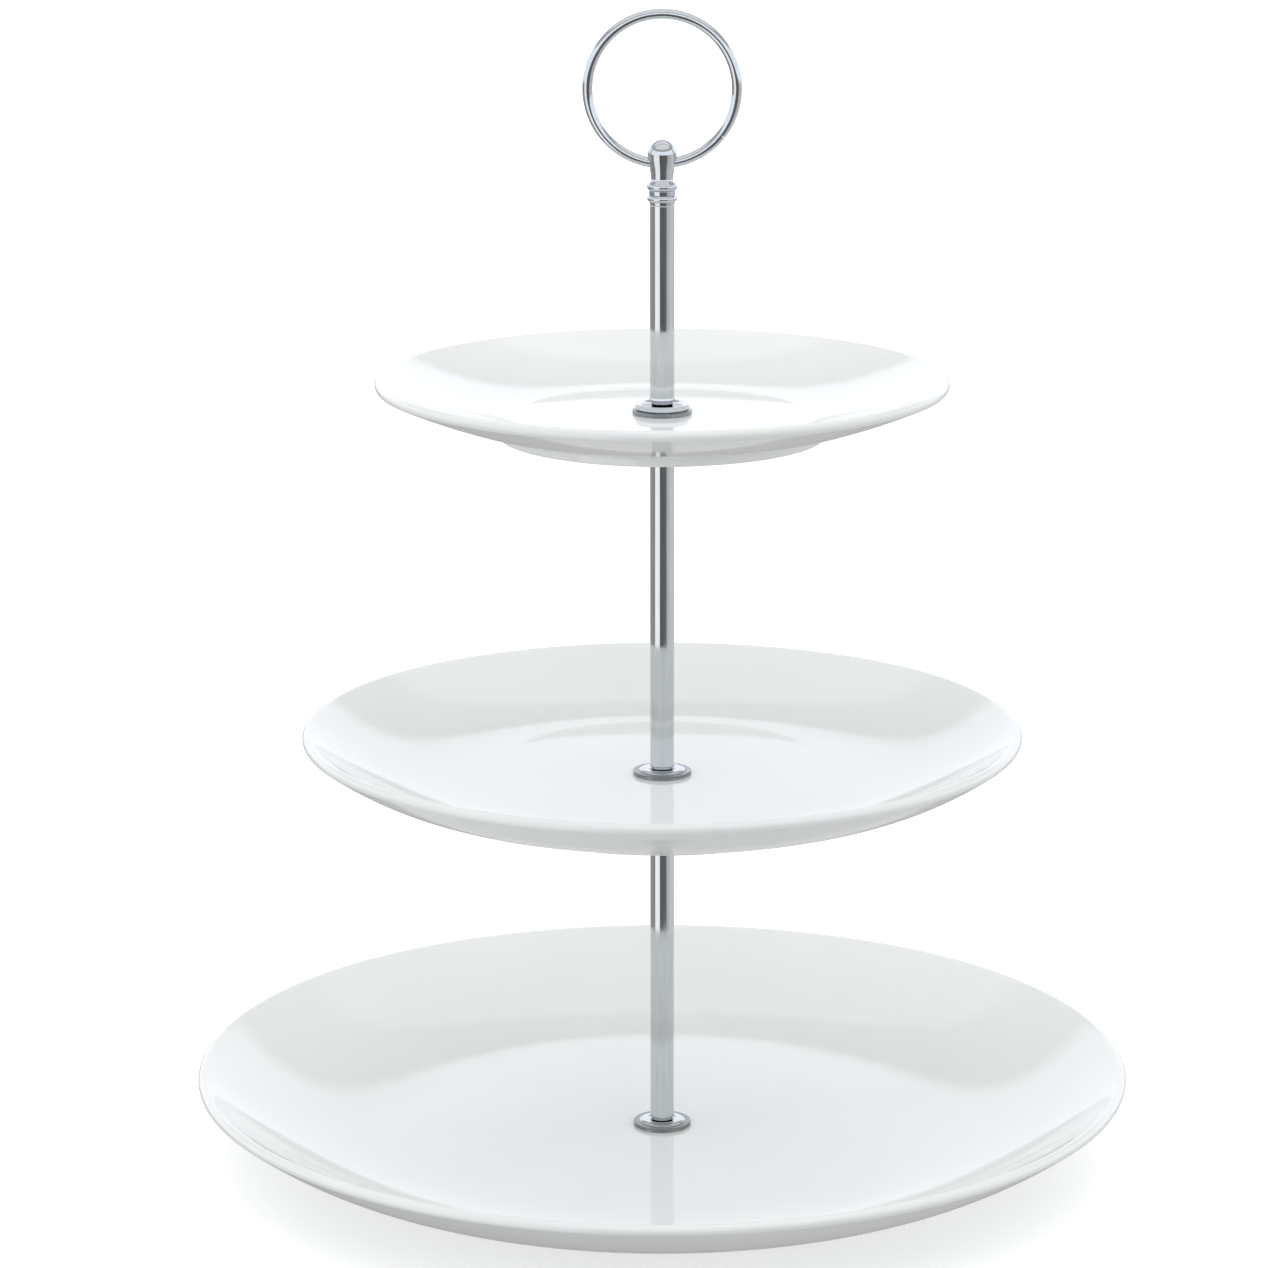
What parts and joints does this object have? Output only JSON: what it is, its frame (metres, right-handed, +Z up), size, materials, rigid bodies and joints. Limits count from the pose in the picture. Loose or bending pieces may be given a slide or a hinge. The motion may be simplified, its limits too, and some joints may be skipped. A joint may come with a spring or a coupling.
{
  "type": "three-tier cake stand",
  "caption": "Tiered serving stand: round coupe plates of falling size clamped one above another on a chromed screw-together rod, with a ring handle on top.",
  "frame": {"origin": "centre of the bottom plate's foot ring, on the table", "axes": "+Z up along the rods; +X across the stand, along the ring handle's width and its cross hole"},
  "size_m": [0.275, 0.275, 0.3395],
  "materials": {
    "glazed_porcelain": "clear gloss glaze on white porcelain",
    "chrome_rod": "polished chrome plate on drawn steel rod",
    "chrome_fitting": "polished chrome plate on turned fittings",
    "chrome_wire": "polished chrome plate on bent steel wire",
    "zinc_steel": "bright zinc plate on steel",
    "soft_washer": "clear soft PVC, slightly milky"
  },
  "bodies": {
    "base": {"bottom_plate": "glazed_porcelain", "base_bolt": "zinc_steel", "base_soft_washer": "soft_washer", "bottom_soft_washer": "soft_washer"},
    "lower_flange": {"lower_flange": "chrome_fitting"},
    "lower_post": {"lower_rod": "chrome_rod", "lower_stud": "zinc_steel", "middle_seat_washer": "zinc_steel", "middle_under_washer": "soft_washer"},
    "middle_tier": {"middle_plate": "glazed_porcelain", "middle_soft_washer": "soft_washer"},
    "middle_flange": {"middle_flange": "chrome_fitting"},
    "middle_post": {"middle_rod": "chrome_rod", "middle_stud": "zinc_steel", "top_seat_washer": "zinc_steel", "top_under_washer": "soft_washer"},
    "top_tier": {"top_plate": "glazed_porcelain", "top_soft_washer": "soft_washer"},
    "top_flange": {"top_flange": "chrome_fitting"},
    "upper_post": {"upper_rod": "chrome_rod", "finial": "chrome_fitting"},
    "ring": {"ring_handle": "chrome_wire"}
  },
  "joints": [
    {"name": "lower_rod_rise", "type": "slide", "parent": "base", "child": "lower_flange", "axis": [0, 0, 1], "range_m": [0, 0.007]},
    {"name": "lower_rod_turn", "type": "hinge", "parent": "lower_flange", "child": "lower_post", "pos_m": [0, 0, 0], "axis": [0, 0, 1], "range_deg": [0, 3600]},
    {"name": "middle_rod_rise", "type": "slide", "parent": "lower_post", "child": "middle_flange", "axis": [0, 0, 1], "range_m": [0, 0.007]},
    {"name": "middle_rod_turn", "type": "hinge", "parent": "middle_flange", "child": "middle_post", "pos_m": [0, 0, 0], "axis": [0, 0, 1], "range_deg": [0, 3600]},
    {"name": "upper_rod_rise", "type": "slide", "parent": "middle_post", "child": "top_flange", "axis": [0, 0, 1], "range_m": [0, 0.007]},
    {"name": "upper_rod_turn", "type": "hinge", "parent": "top_flange", "child": "upper_post", "pos_m": [0, 0, 0], "axis": [0, 0, 1], "range_deg": [0, 3600]},
    {"name": "middle_plate_turn", "type": "hinge", "parent": "lower_post", "child": "middle_tier", "pos_m": [0, 0, 0.116], "axis": [0, 0, 1], "continuous": true},
    {"name": "top_plate_turn", "type": "hinge", "parent": "middle_post", "child": "top_tier", "pos_m": [0, 0, 0.2235], "axis": [0, 0, 1], "continuous": true},
    {"name": "ring_swing", "type": "hinge", "parent": "upper_post", "child": "ring", "pos_m": [0, 0, 0.2957], "axis": [1, 0, 0], "range_deg": [-170, 170]}
  ],
  "couplings": [
    {"joint": "lower_rod_turn", "follows": "lower_rod_rise", "rad_per_m": 8975.9},
    {"joint": "middle_rod_turn", "follows": "middle_rod_rise", "rad_per_m": 8975.9},
    {"joint": "upper_rod_turn", "follows": "upper_rod_rise", "rad_per_m": 8975.9}
  ]
}
